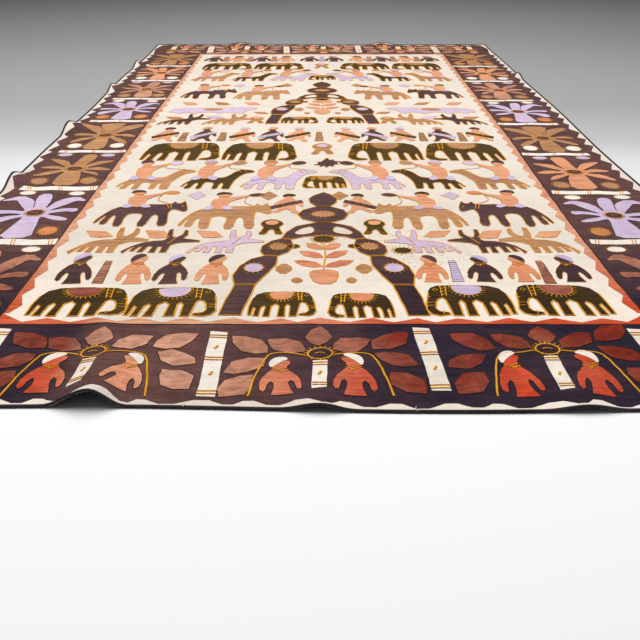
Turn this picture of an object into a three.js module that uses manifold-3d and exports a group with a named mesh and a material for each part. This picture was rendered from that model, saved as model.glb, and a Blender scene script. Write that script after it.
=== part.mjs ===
// Applique kanduri cloth, spread flat on a floor. Millimetres, +Z up.
// X runs across the cloth and Y along it, with the near short edge at -Y.
// The origin is on the floor under the middle of the cloth.
import * as THREE from "three";
import { mergeVertices } from "three/addons/utils/BufferGeometryUtils.js";
import Module from "manifold-3d";

// Driving dimensions
const CLOTH_WIDTH = 2300;
const CLOTH_LENGTH = 4540;
const SIDE_BORDER = 350;
const END_BORDER = 380;
const REPEAT_LENGTH = 1890; // the arch and its rows of animals come twice along the field
const POST = { width: 42, height: 275, pitch: 505, fromEdge: 68 }; // cream posts across the end borders

// Heights of the layers above the floor, where the cloth lies flat
const CLOTH_THICK = 1.2;
const LAYER_GAP = 0.3;
const GROUND_LAYER = { from: 0, to: CLOTH_THICK };
const PATCH_LAYER = stackedOn(GROUND_LAYER);
const BORDER_PATCH_LAYER = stackedOn(PATCH_LAYER);
const BINDING_LAYER = { from: 0, to: 3 };

// Edges
const EDGE_STEP = 75; // from one point of a straying edge to the next
const CORNER_EASE = 400; // an edge is back in line at its corners over this length
const BINDING_WIDTH = 6;
const SEAM_GAP = 0.4;
const TOOTH_PITCH = 115; // along the outer serrated edge of the dark border
const TOOTH_DEPTH = 27;
const TOOTH_MARGIN = 9; // cream that shows between a tooth's tip and the binding
const INNER_PITCH = 105; // along the red strip inside the dark border
const INNER_ROOT = 16;
const INNER_TIP = 43;
const END_STRIP_ROOT = 11;
const END_STRIP_TIP = 28;
const CORNER_PATCH = 62; // the red strip is this deep where two sides meet

const halfWidth = CLOTH_WIDTH / 2;
const halfLength = CLOTH_LENGTH / 2;
const fieldHalfWidth = halfWidth - SIDE_BORDER;
const fieldHalfLength = halfLength - END_BORDER;

// Folds that lift the cloth's edge off the floor. "at" is the place along the edge, "before" and
// "after" are the lengths of the fold's two slopes, and "reach" is how far in from the edge it runs.
const FOLDS = {
  near: [
    { at: -930, height: 12, before: 110, after: 100, reach: 170 },
    { at: -478, height: 40, before: 105, after: 70, reach: 300 },
    { at: -11, height: 14, before: 85, after: 75, reach: 190 },
    { at: 533, height: 11, before: 95, after: 85, reach: 190 },
    { at: 930, height: 9, before: 90, after: 90, reach: 150 },
  ],
  far: [
    { at: -560, height: 14, before: 120, after: 110, reach: 180 },
    { at: 420, height: 18, before: 110, after: 130, reach: 200 },
  ],
  left: [
    { at: -1500, height: 14, before: 110, after: 120, reach: 110 },
    { at: -774, height: 30, before: 134, after: 108, reach: 120 },
    { at: -44, height: 34, before: 140, after: 150, reach: 125 },
    { at: 820, height: 20, before: 120, after: 130, reach: 110 },
    { at: 1480, height: 26, before: 130, after: 110, reach: 120 },
  ],
  right: [
    { at: -1420, height: 10, before: 120, after: 110, reach: 100 },
    { at: 1150, height: 16, before: 130, after: 120, reach: 110 },
  ],
};

function stackedOn(layer) {
  const from = layer.to + LAYER_GAP;
  return { from, to: from + CLOTH_THICK };
}

// How high one fold stands, at a place along its edge and a distance in from that edge.
function foldHeight(fold, along, inward) {
  const slope = along < fold.at ? fold.before : fold.after;
  const across = Math.abs(along - fold.at) / slope;
  const depth = inward / fold.reach;
  if (across >= 1 || depth >= 1) return 0;
  const bell = Math.cos((across * Math.PI) / 2) ** 2;
  const fade = (1 - depth) ** 2 * (1 + 2 * depth);
  return fold.height * bell * fade;
}

// The underside's height over the floor at a point of the cloth.
function drape(x, y) {
  const edges = [
    [FOLDS.near, x, y + halfLength],
    [FOLDS.far, x, halfLength - y],
    [FOLDS.left, y, x + halfWidth],
    [FOLDS.right, y, halfWidth - x],
  ];
  return edges.reduce(
    (height, [folds, along, inward]) =>
      folds.reduce((sum, fold) => sum + foldHeight(fold, along, inward), height),
    0,
  );
}

const wasm = await Module();
wasm.setup();

// A closed three.js geometry as a solid that can be joined and cut.
function solidOf(geometry) {
  const plain = geometry.index ? geometry.toNonIndexed() : geometry.clone();
  const position = plain.getAttribute("position");
  const merged = mergeVertices(new THREE.BufferGeometry().setAttribute("position", position), 1e-3);
  return new wasm.Manifold(
    new wasm.Mesh({
      numProp: 3,
      vertProperties: merged.attributes.position.array,
      triVerts: new Uint32Array(merged.index.array),
    }),
  );
}

function meshOf(solid, name, material) {
  const { vertProperties, triVerts } = solid.getMesh();
  const geometry = new THREE.BufferGeometry();
  geometry.setAttribute("position", new THREE.BufferAttribute(vertProperties, 3));
  geometry.setIndex(new THREE.BufferAttribute(triVerts, 1));
  geometry.computeVertexNormals();
  const mesh = new THREE.Mesh(geometry, material);
  mesh.name = name;
  return mesh;
}

// Grid lines from one end to the other, closer together where a fold needs them.
function gridLines(from, to, folds, spacing, stepsPerSlope) {
  const lines = [from, to];
  for (const { at, before, after } of folds) {
    for (let step = -stepsPerSlope; step <= stepsPerSlope; step++) {
      lines.push(at + (step / stepsPerSlope) * (step < 0 ? before : after));
    }
  }
  lines.sort((a, b) => a - b);
  const filled = [lines[0]];
  for (const line of lines.slice(1)) {
    const start = filled.at(-1);
    const parts = Math.ceil((line - start) / spacing);
    for (let part = 1; part <= parts; part++) {
      filled.push(start + ((line - start) * part) / parts);
    }
  }
  return filled;
}

// One layer of the cloth over a rectangle: a thin slab that follows the folds.
function drapedSlab(xs, ys, layer) {
  const points = [];
  const faces = [];
  const columns = xs.length;
  const perSide = columns * ys.length;
  for (const offset of [layer.from, layer.to]) {
    for (const y of ys) for (const x of xs) points.push(x, y, drape(x, y) + offset);
  }
  const quad = (a, b, c, d) => faces.push(a, b, c, a, c, d);
  for (let row = 0; row + 1 < ys.length; row++) {
    for (let column = 0; column + 1 < columns; column++) {
      const a = row * columns + column;
      const [b, c, d] = [a + 1, a + columns + 1, a + columns];
      quad(a + perSide, b + perSide, c + perSide, d + perSide);
      faces.push(a, c, b, a, d, c);
    }
  }
  const wall = (a, b) => quad(a, b, b + perSide, a + perSide);
  const lastRow = (ys.length - 1) * columns;
  for (let column = 0; column + 1 < columns; column++) {
    wall(column, column + 1);
    wall(lastRow + column + 1, lastRow + column);
  }
  for (let row = 0; row + 1 < ys.length; row++) {
    wall((row + 1) * columns, row * columns);
    wall(row * columns + columns - 1, (row + 1) * columns + columns - 1);
  }
  const geometry = new THREE.BufferGeometry();
  geometry.setAttribute("position", new THREE.Float32BufferAttribute(points, 3));
  geometry.setIndex(faces);
  return solidOf(geometry);
}

// A whole layer: four draped borders round a flat field.
function layerSlab(layer) {
  const sideLines = (edge) => gridLines(-fieldHalfLength, fieldHalfLength, FOLDS[edge], 700, 3);
  const endLines = (edge) => gridLines(-halfWidth, halfWidth, FOLDS[edge], 400, 3);
  const sideDepths = [0, 40, 80, 125, SIDE_BORDER];
  const endDepths = [0, 60, 130, 210, 300, END_BORDER];
  const field = {
    xs: [-fieldHalfWidth, fieldHalfWidth],
    ys: [-fieldHalfLength, fieldHalfLength],
  };
  const zones = [
    [endLines("near"), endDepths.map((depth) => depth - halfLength)],
    [endLines("far"), endDepths.map((depth) => halfLength - depth).reverse()],
    [sideDepths.map((depth) => depth - halfWidth), sideLines("left")],
    [sideDepths.map((depth) => halfWidth - depth).reverse(), sideLines("right")],
    [field.xs, field.ys],
  ];
  return zones
    .map(([xs, ys]) => drapedSlab(xs, ys, layer))
    .reduce((whole, zone) => whole.add(zone));
}

// The part of a layer that lies inside an outline.
function cutFrom(layer, outline) {
  const shape = new THREE.Shape(outline.map(([x, y]) => new THREE.Vector2(x, y)));
  const cutter = new THREE.ExtrudeGeometry(shape, { depth: 100, bevelEnabled: false });
  cutter.translate(0, 0, -10);
  return layer.intersect(solidOf(cutter));
}

const groundLayer = layerSlab(GROUND_LAYER);
const patchLayer = layerSlab(PATCH_LAYER);
const borderPatchLayer = layerSlab(BORDER_PATCH_LAYER);
const bindingLayer = layerSlab(BINDING_LAYER);

const matte = (color) => new THREE.MeshStandardMaterial({ color, roughness: 0.92, metalness: 0 });
const MATERIALS = {
  cream: matte("#efe4d6"),
  aubergine: matte("#4a3b3d"),
  terracotta: matte("#c8663f"),
  binding: matte("#2f2a2d"),
  olive: matte("#443a20"),
  lilac: matte("#c3b4da"),
  tan: matte("#b98c68"),
};

// Outlines are lists of [x, y]. Turning a quarter or half round makes the other sides of the cloth.
const turned = (outline, quarters) => {
  const cos = [1, 0, -1, 0][quarters];
  const sin = [0, 1, 0, -1][quarters];
  return outline.map(([x, y]) => [x * cos - y * sin, x * sin + y * cos]);
};

const rectangle = (x0, y0, x1, y1) => [
  [x0, y0],
  [x1, y0],
  [x1, y1],
  [x0, y1],
];

// Points of an even zigzag from one end of a line to the other, tips to one side of it.
function zigzag(from, to, pitch, root, tip) {
  const teeth = Math.round((to - from) / pitch);
  const step = (to - from) / teeth;
  const points = [];
  for (let tooth = 0; tooth < teeth; tooth++) {
    points.push([from + tooth * step, root], [from + (tooth + 0.5) * step, tip]);
  }
  points.push([to, root]);
  return points;
}

// The four edges, counter-clockwise: each is drawn along X with the cloth above it, then turned.
// "wander" is how far the edge strays inwards at most, and "phase" places its waves.
const EDGES = {
  near: { quarters: 0, half: halfWidth, from: halfLength, wander: 26, phase: 3.37 },
  right: { quarters: 1, half: halfLength, from: halfWidth, wander: 14, phase: 3.18 },
  far: { quarters: 2, half: halfWidth, from: halfLength, wander: 18, phase: 3.3 },
  left: { quarters: 3, half: halfLength, from: halfWidth, wander: 20, phase: 5.22 },
};

// How far one edge strays inwards at a place along it.
function strayed({ half, wander, phase }, along) {
  const nearCorner = Math.min(1, (half - Math.abs(along)) / CORNER_EASE);
  const wave = Math.sin(along / 310 + phase) * Math.cos(along / 730 + 2 * phase);
  return wander * nearCorner * (0.5 + 0.5 * wave);
}

// Points along one straying edge, set in from it, ending short of the corners by "short".
function edgeLine(edge, inset, short) {
  const end = edge.half - short;
  const inner = Math.floor((end - 1) / EDGE_STEP);
  const stations = Array.from({ length: 2 * inner + 1 }, (_, step) => (step - inner) * EDGE_STEP);
  return [-end, ...stations, end].map((along) => [along, inset - edge.from + strayed(edge, along)]);
}

// Cream ground, one cut length of cotton inside the binding
function groundCloth() {
  const inset = BINDING_WIDTH + SEAM_GAP;
  const outline = Object.values(EDGES).flatMap((edge) =>
    turned(edgeLine(edge, inset, inset).slice(0, -1), edge.quarters),
  );
  return meshOf(cutFrom(groundLayer, outline), "ground_cloth", MATERIALS.cream);
}

// Dark binding, a folded strip along each edge; the end strips run out over the side ones
function bindings() {
  return Object.entries(EDGES).map(([side, edge]) => {
    const short = side === "near" || side === "far" ? 0 : BINDING_WIDTH + SEAM_GAP;
    const outer = edgeLine(edge, 0, short);
    const inner = edgeLine(edge, BINDING_WIDTH, short).reverse();
    const outline = turned([...outer, ...inner], edge.quarters);
    return meshOf(cutFrom(bindingLayer, outline), `binding_${side}`, MATERIALS.binding);
  });
}

// Dark borders, serrated along the outer edge. The end borders run the full width of the cloth.
function darkBorders() {
  const tip = BINDING_WIDTH + TOOTH_MARGIN;
  const rootX = halfWidth - tip - TOOTH_DEPTH;
  const sideTooth = halfLength - END_BORDER / 2; // where an end border's ends reach out furthest
  const sideHalf = fieldHalfLength - SEAM_GAP;
  const serration = (edge, reach) =>
    zigzag(-reach, reach, TOOTH_PITCH, tip + TOOTH_DEPTH - edge.from, tip - edge.from).map(
      ([along, y]) => [along, y + strayed(edge, along)],
    );
  const endBorder = (edge, after, before) => [
    ...serration(edge, rootX),
    [halfWidth - tip - strayed(after, -sideTooth), -sideTooth],
    [rootX, -fieldHalfLength],
    [-rootX, -fieldHalfLength],
    [tip - halfWidth + strayed(before, sideTooth), -sideTooth],
  ];
  const sideBorder = (edge) => [
    ...serration(edge, sideHalf),
    [sideHalf, -fieldHalfWidth],
    [-sideHalf, -fieldHalfWidth],
  ];
  const { near, right, far, left } = EDGES;
  const outlines = {
    near: endBorder(near, right, left),
    far: endBorder(far, left, right),
    left: sideBorder(left),
    right: sideBorder(right),
  };
  return Object.entries(outlines).map(([side, outline]) => {
    const laid = turned(outline, EDGES[side].quarters);
    return meshOf(cutFrom(patchLayer, laid), `border_${side}`, MATERIALS.aubergine);
  });
}

// Red strips between the dark border and the field, toothed towards the field
function redStrips() {
  const endY = -fieldHalfLength + SEAM_GAP;
  const endHalf = fieldHalfWidth - SEAM_GAP;
  const innerHalf = endHalf - CORNER_PATCH;
  const sideHalf = fieldHalfLength - CORNER_PATCH - 2 * SEAM_GAP;
  const sideX = -fieldHalfWidth + SEAM_GAP;
  const zigzagY = (root, tip) => zigzag(-innerHalf, innerHalf, TOOTH_PITCH, endY + root, endY + tip);
  const endStrip = [
    [-endHalf, endY],
    [endHalf, endY],
    [endHalf, endY + CORNER_PATCH],
    ...zigzagY(END_STRIP_ROOT, END_STRIP_TIP).reverse(),
    [-endHalf, endY + CORNER_PATCH],
  ];
  const sideStrip = [
    [-sideHalf, sideX],
    [sideHalf, sideX],
    ...zigzag(-sideHalf, sideHalf, INNER_PITCH, sideX + INNER_ROOT, sideX + INNER_TIP).reverse(),
  ];
  const outlines = {
    near: endStrip,
    far: turned(endStrip, 2),
    left: turned(sideStrip, 3),
    right: turned(sideStrip, 1),
  };
  return Object.entries(outlines).map(([side, outline]) =>
    meshOf(cutFrom(patchLayer, outline), `red_strip_${side}`, MATERIALS.terracotta),
  );
}

// Outlines of the larger patches, each facing right on a base line, in millimetres
const ELEPHANT = {
  width: 240,
  height: 155,
  outline: [
    [-120, 8], [-108, 54], [-90, 98], [-64, 130], [-30, 148], [20, 155], [72, 152], [98, 146],
    [114, 130], [120, 98], [120, 24], [108, 8], [86, 0], [62, 5], [64, 14], [88, 20], [96, 32],
    [95, 66], [84, 86], [66, 90], [58, 76], [50, 0], [24, 0], [26, 60], [18, 74], [10, 60],
    [10, 0], [-14, 0], [-12, 62], [-24, 76], [-40, 62], [-42, 0], [-66, 0], [-60, 58],
    [-68, 66], [-76, 54], [-80, 2], [-98, 2], [-94, 46], [-100, 52], [-110, 8],
  ],
};

const HORSE = {
  width: 300,
  height: 236,
  outline: [
    [-150, 14], [-126, 78], [-96, 122], [-56, 136], [0, 130], [42, 136], [66, 158], [84, 200],
    [96, 230], [106, 236], [124, 220], [150, 196], [146, 184], [112, 190], [102, 168], [98, 120],
    [92, 86], [98, 14], [112, 0], [72, 0], [68, 66], [56, 76], [46, 62], [44, 0], [16, 0],
    [20, 66], [0, 80], [-34, 78], [-40, 0], [-68, 0], [-60, 66], [-70, 74], [-80, 60],
    [-88, 0], [-116, 0], [-104, 68], [-112, 72], [-138, 8],
  ],
};

const PANTHER = {
  width: 300,
  height: 250,
  outline: [
    [-150, 30], [-134, 96], [-104, 156], [-56, 184], [14, 188], [66, 190], [90, 202], [100, 240],
    [110, 244], [118, 222], [132, 250], [140, 222], [150, 190], [148, 152], [138, 126],
    [114, 136], [96, 150], [94, 100], [104, 8], [70, 0], [62, 84], [48, 96], [38, 84], [32, 0],
    [0, 0], [8, 88], [-10, 106], [-40, 104], [-52, 84], [-48, 0], [-80, 0], [-84, 82],
    [-92, 90], [-100, 76], [-104, 14], [-130, 18], [-118, 84], [-126, 82], [-138, 24],
  ],
};

// Right half of the stepped arch, foot to finial and back down its inner side
const ARCH_HALF = {
  outer: [
    [262, 0], [254, 90], [240, 176], [250, 236], [238, 300], [206, 350], [172, 372], [186, 404],
    [184, 446], [160, 486], [128, 504], [114, 560], [88, 606], [24, 638], [68, 668], [84, 712],
    [66, 756], [22, 788], [44, 826], [50, 868], [32, 906],
  ],
  finial: [0, 934],
  crown: [0, 528],
  inner: [
    [58, 520], [98, 496], [88, 446], [104, 400], [134, 370], [136, 306], [160, 236], [184, 176],
    [196, 90], [208, 0],
  ],
};

// A patch outline set down on the cloth, its base line's middle at x and y.
function placed({ outline, width, height }, spot) {
  const across = ((spot.width ?? width) / width) * (spot.faces === "left" ? -1 : 1);
  const up = (spot.height ?? height) / height;
  const points = outline.map(([x, y]) => [spot.x + x * across, spot.y + y * up]);
  return across < 0 ? points.reverse() : points;
}

// The same patch on both halves of the cloth, each one facing the middle
const facingMiddle = (spots) =>
  spots.flatMap((spot) => [
    { ...spot, x: -spot.x, faces: "right" },
    { ...spot, x: spot.x, faces: "left" },
  ]);

const rowStart = { first: -fieldHalfLength, second: -fieldHalfLength + REPEAT_LENGTH };

function patches(name, motif, spots) {
  return spots.map((spot, index) =>
    meshOf(cutFrom(patchLayer, placed(motif, spot)), `${name}_${index + 1}`, MATERIALS[spot.cotton]),
  );
}

function elephants() {
  const spots = [
    { x: 621, y: rowStart.first + 52, cotton: "olive" },
    { x: 385, y: rowStart.first + 50, width: 228, cotton: "olive" },
    { x: 104, y: rowStart.first + 52, width: 174, height: 128, cotton: "olive" },
    { x: 258, y: rowStart.first + 1388, width: 300, height: 235, cotton: "olive" },
    { x: 572, y: rowStart.first + 1388, width: 300, height: 235, cotton: "olive" },
    { x: 104, y: rowStart.second + 62, width: 174, height: 120, cotton: "olive" },
    { x: 258, y: rowStart.second + 1352, width: 300, height: 215, cotton: "olive" },
    { x: 572, y: rowStart.second + 1352, width: 300, height: 215, cotton: "olive" },
  ];
  return patches("elephant", ELEPHANT, facingMiddle(spots));
}

function horses() {
  const spots = [
    { x: 196, y: rowStart.first + 1018, width: 220, cotton: "lilac" },
    { x: 412, y: rowStart.first + 1018, width: 210, cotton: "olive" },
    { x: 624, y: rowStart.first + 1018, width: 210, cotton: "tan" },
    { x: 196, y: rowStart.second + 1008, width: 220, cotton: "lilac" },
    { x: 412, y: rowStart.second + 1008, width: 210, cotton: "olive" },
    { x: 624, y: rowStart.second + 1008, width: 210, cotton: "tan" },
  ];
  return patches("horse", HORSE, facingMiddle(spots));
}

function panthers() {
  const spots = [
    { x: 316, y: rowStart.first + 648, width: 290, height: 232, cotton: "tan" },
    { x: 594, y: rowStart.first + 648, width: 284, height: 232, cotton: "aubergine" },
    { x: 316, y: rowStart.second + 560, width: 290, height: 232, cotton: "tan" },
    { x: 594, y: rowStart.second + 560, width: 284, height: 232, cotton: "aubergine" },
  ];
  return patches("panther", PANTHER, facingMiddle(spots));
}

function arches() {
  const { outer, inner, finial, crown } = ARCH_HALF;
  const mirrored = (points) => points.map(([x, y]) => [-x, y]).reverse();
  const outline = [...outer, finial, ...mirrored(outer), ...mirrored(inner), crown, ...inner];
  const motif = { outline, width: 2 * outer[0][0], height: finial[1] };
  const spots = Object.values(rowStart).map((start) => ({ x: 0, y: start + 50, cotton: "aubergine" }));
  return patches("arch", motif, spots);
}

// Cream posts that stand across the end borders, between the sprays of leaves
function posts() {
  const { width, height, pitch, fromEdge } = POST;
  const base = fromEdge - halfLength;
  const nearPosts = [-1.5, -0.5, 0.5, 1.5].map((step) =>
    rectangle(step * pitch - width / 2, base, step * pitch + width / 2, base + height),
  );
  const farPosts = nearPosts.map((outline) => turned(outline, 2));
  return [...nearPosts, ...farPosts].map((outline, index) =>
    meshOf(cutFrom(borderPatchLayer, outline), `post_${index + 1}`, MATERIALS.cream),
  );
}

const cloth = new THREE.Group();
cloth.add(
  groundCloth(),
  ...bindings(),
  ...darkBorders(),
  ...redStrips(),
  ...arches(),
  ...elephants(),
  ...horses(),
  ...panthers(),
  ...posts(),
);

export default cloth;
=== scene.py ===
# Applique kanduri cloth spread on a floor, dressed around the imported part.
import math

import bmesh
import bpy
import numpy as np
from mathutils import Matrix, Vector, noise


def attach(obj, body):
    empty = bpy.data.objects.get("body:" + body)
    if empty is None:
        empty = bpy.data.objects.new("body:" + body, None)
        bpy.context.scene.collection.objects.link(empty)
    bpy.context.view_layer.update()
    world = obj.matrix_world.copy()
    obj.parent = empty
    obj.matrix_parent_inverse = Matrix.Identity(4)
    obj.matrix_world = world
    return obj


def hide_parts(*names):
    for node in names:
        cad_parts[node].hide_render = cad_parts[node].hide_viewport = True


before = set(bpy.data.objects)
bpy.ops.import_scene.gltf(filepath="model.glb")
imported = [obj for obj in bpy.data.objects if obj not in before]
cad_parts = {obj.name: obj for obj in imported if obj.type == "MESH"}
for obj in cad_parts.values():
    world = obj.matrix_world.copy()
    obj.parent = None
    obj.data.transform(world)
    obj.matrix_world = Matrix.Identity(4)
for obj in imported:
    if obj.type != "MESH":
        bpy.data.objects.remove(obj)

noise.seed_set(11)  # or noise_vector starts from the clock, and every run differs

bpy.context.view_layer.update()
mm = 0.001
scene = bpy.context.scene

# Camera, matched to the photograph: low in front of the near edge
camera = {
    "place": (-0.011, -3.5965, 0.9186),
    "tiltDown": 27.88,  # degrees below the horizon
    "lens": 45,
    "sensor": 36,
}


def addCamera(c):
    data = bpy.data.cameras.new("camera")
    data.lens = c["lens"]
    data.sensor_width = c["sensor"]
    data.clip_end = 60
    obj = bpy.data.objects.new("camera", data)
    obj.location = c["place"]
    obj.rotation_euler = (math.radians(90 - c["tiltDown"]), 0, 0)
    scene.collection.objects.link(obj)
    scene.camera = obj


addCamera(camera)
print("camera set")

# The cloth, in millimetres. X runs across it and Y along it.
cloth = {
    "width": 2300,
    "length": 4540,
    "sideBorder": 350,
    "endBorder": 380,
    "repeat": 1890,      # the arch and its rows of animals come twice
    "thick": 1.1,
    "patchThick": 0.8,
    "layerStep": 0.95,   # from one layer of patches to the next
    "cornerEase": 400,   # the edges stray less near the corners
    "undulation": 0.9,   # slight unevenness of cloth that was folded for years
}
halfW = cloth["width"] / 2
halfL = cloth["length"] / 2
fieldW = halfW - cloth["sideBorder"]
fieldL = halfL - cloth["endBorder"]
firstRow = -fieldL
secondRow = firstRow + cloth["repeat"]

# How far each edge strays inwards at most, and the start of its wave: near, right, far, left
edges = [(26, 3.37), (14, 3.18), (18, 3.3), (20, 5.22)]

# Folds that lift the edge: place along it, height, slope before it and after it, reach inwards
folds = {
    "near": [(-930, 12, 110, 100, 170), (-478, 40, 105, 70, 300), (-11, 14, 85, 75, 190),
             (533, 11, 95, 85, 190), (930, 9, 90, 90, 150)],
    "far": [(-560, 14, 120, 110, 180), (420, 18, 110, 130, 200)],
    "left": [(-1500, 14, 110, 120, 110), (-774, 30, 134, 108, 120), (-44, 34, 140, 150, 125),
             (820, 20, 120, 130, 110), (1480, 26, 130, 110, 120)],
    "right": [(-1420, 10, 120, 110, 100), (1150, 16, 130, 120, 110)],
}

# Soft ridges that run on into the cloth: from, to, height, half width
ridges = [
    ((-478, -2090), (-560, -1800), 5, 60), ((-11, -2120), (30, -1930), 3.5, 45),
    ((-760, -2190), (-790, -1960), 3, 40), ((-300, -2200), (-262, -1900), 2.5, 38),
    ((255, -2210), (236, -1905), 2.5, 38), ((560, -2120), (640, -1910), 3, 45),
    ((-820, -1888), (820, -1888), 2, 16), ((-1000, -760), (-770, -700), 4, 50),
    ((-1000, -20), (-770, 60), 4, 55), ((-800, -1860), (-800, 1860), 1.6, 14),
    ((800, -1860), (800, 1860), 1.6, 14), ((-420, -900), (-500, 300), 2, 60),
    ((380, -1500), (300, -200), 1.8, 70), ((-600, 900), (500, 1100), 2.4, 70),
]

# Grid that every layer shares, so that layers keep their distance on the folds
gridX = np.linspace(-halfW, halfW, 165)
gridY = np.concatenate([
    np.arange(-halfL, -1850, 10.0),
    np.arange(-1850, 400, 16.0),
    np.linspace(400, halfL, 78),
])


def foldHeights(along, inward, rows):
    total = np.zeros_like(along)
    for at, height, before, after, reach in rows:
        across = np.clip(np.abs(along - at) / np.where(along < at, before, after), 0, 1)
        depth = np.clip(inward / reach, 0, 1)
        total += height * np.cos(across * math.pi / 2) ** 2 * (1 - depth) ** 2 * (1 + 2 * depth)
    return total


def ridgeHeights(x, y):
    total = np.zeros_like(x)
    for (ax, ay), (bx, by), height, half in ridges:
        dx, dy = bx - ax, by - ay
        t = np.clip(((x - ax) * dx + (y - ay) * dy) / (dx * dx + dy * dy), 0, 1)
        away = np.hypot(x - ax - t * dx, y - ay - t * dy) / half
        total += height * np.clip(4 * t * (1 - t) + 0.35, 0, 1) * np.exp(-2.2 * away * away)
    return total


def clothHeights(x, y):
    z = foldHeights(x, y + halfL, folds["near"]) + foldHeights(x, halfL - y, folds["far"])
    z += foldHeights(y, x + halfW, folds["left"]) + foldHeights(y, halfW - x, folds["right"])
    z += ridgeHeights(x, y)
    swell = np.sin(x / 97 + 1.3 * np.sin(y / 141)) * np.sin(y / 83 + 1.7 * np.sin(x / 173))
    return z + cloth["undulation"] * (0.5 + 0.5 * swell)


gridZ = clothHeights(*np.meshgrid(gridX, gridY))


def heightAt(x, y):
    # straight between the grid's lines, for arrays of millimetres
    i = np.clip(np.searchsorted(gridX, x, side="right") - 1, 0, len(gridX) - 2)
    j = np.clip(np.searchsorted(gridY, y, side="right") - 1, 0, len(gridY) - 2)
    u = np.clip((x - gridX[i]) / (gridX[i + 1] - gridX[i]), 0, 1)
    v = np.clip((y - gridY[j]) / (gridY[j + 1] - gridY[j]), 0, 1)
    low = gridZ[j, i] * (1 - u) + gridZ[j, i + 1] * u
    high = gridZ[j + 1, i] * (1 - u) + gridZ[j + 1, i + 1] * u
    return low * (1 - v) + high * v


def layOnFolds(mesh):
    # from flat millimetres to metres on the folds
    co = np.empty(len(mesh.vertices) * 3)
    mesh.vertices.foreach_get("co", co)
    co = co.reshape(-1, 3)
    co[:, 2] += heightAt(co[:, 0], co[:, 1])
    mesh.vertices.foreach_set("co", (co * mm).ravel())
    mesh.update()


def addPiece(name, mesh, material, replaced=()):
    mesh.name = name
    obj = bpy.data.objects.new(name, mesh)
    scene.collection.objects.link(obj)
    mesh.materials.clear()
    mesh.materials.append(material)
    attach(obj, "root")
    if replaced:
        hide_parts(*replaced)
    return obj


def nodesNamed(prefix, numbers=None):
    names = [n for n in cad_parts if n.startswith(prefix)]
    return [n for n in names if numbers is None or int(n.rsplit("_", 1)[1]) in numbers]


# Materials. Colours are sRGB hex.
def linear(code):
    parts = [int(code[i:i + 2], 16) / 255 for i in (1, 3, 5)]
    return [p / 12.92 if p < 0.04045 else ((p + 0.055) / 1.055) ** 2.4 for p in parts] + [1]


def addNode(tree, kind, inputs=None, **settings):
    node = tree.nodes.new("ShaderNode" + kind)
    for key, value in settings.items():
        setattr(node, key, value)
    for key, value in (inputs or {}).items():
        if isinstance(value, bpy.types.NodeSocket):
            tree.links.new(value, node.inputs[key])
        else:
            node.inputs[key].default_value = value
    return node


def newMaterial(name):
    material = bpy.data.materials.new(name)
    material.use_nodes = True
    material.node_tree.nodes.clear()
    return material, material.node_tree, addNode(material.node_tree, "TexCoord").outputs["Object"]


def noisy(tree, place, scale, detail, **more):
    return addNode(tree, "TexNoise", {"Vector": place, "Scale": scale, "Detail": detail, **more}).outputs[0]


def ranged(tree, value, low, high, start=0, end=1):
    return addNode(tree, "MapRange", {0: value, 1: low, 2: high, 3: start, 4: end}).outputs[0]


def reckoned(tree, operation, *values, clamp=False):
    return addNode(tree, "Math", dict(enumerate(values)), operation=operation, use_clamp=clamp).outputs[0]


def mixed(tree, share, one, other):
    return addNode(tree, "Mix", {0: share, 6: one, 7: other}, data_type="RGBA").outputs[2]


def raised(tree, height, strength, distance):
    return addNode(tree, "Bump", {"Strength": strength, "Distance": distance, "Height": height}).outputs[0]


def surface(tree, colour, rough, shine, **more):
    shader = addNode(tree, "BsdfPrincipled", {
        "Base Color": colour, "Roughness": rough, "Specular IOR Level": shine, **more})
    addNode(tree, "OutputMaterial", {0: shader.outputs[0]})


def rampStops(node, stops):
    ramp = node.color_ramp
    while len(ramp.elements) < len(stops):
        ramp.elements.new(0.5)
    for element, (place, value) in zip(ramp.elements, stops):
        element.position = place
        element.color = linear(value) if isinstance(value, str) else (value, value, value, 1)


# Where the colours turn to their paler ones: left of the middle in the near border, and nearly everywhere
# beyond it
paleness = {
    "acrossNear": [(0, 0.05), (0.24, 0.15), (0.265, 0.7), (0.3, 0.95), (0.38, 0.85), (0.43, 0.6),
                   (0.51, 0.35), (0.58, 0.1), (1, 0.0)],
    "acrossFar": [(0, 0.85), (0.55, 0.9), (0.78, 0.8), (1, 0.75)],
    "nearEnds": -1.76,  # metres along the cloth
    "farStarts": -1.38,
    "blotches": 0.16,
}


def palenessMap(tree, coords):
    split = addNode(tree, "SeparateXYZ", {0: coords})
    across = ranged(tree, split.outputs[0], -halfW * mm, halfW * mm)
    ramps = [addNode(tree, "ValToRGB", {0: across}) for _ in range(2)]
    rampStops(ramps[0], paleness["acrossNear"])
    rampStops(ramps[1], paleness["acrossFar"])
    along = ranged(tree, split.outputs[1], paleness["nearEnds"], paleness["farStarts"])
    both = addNode(tree, "Mix", {0: along, 2: ramps[0].outputs[0], 3: ramps[1].outputs[0]})
    spread = ranged(tree, noisy(tree, coords, 5, 4), 0.3, 0.7, -paleness["blotches"], paleness["blotches"])
    return reckoned(tree, "ADD", both.outputs[0], spread, clamp=True)


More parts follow.
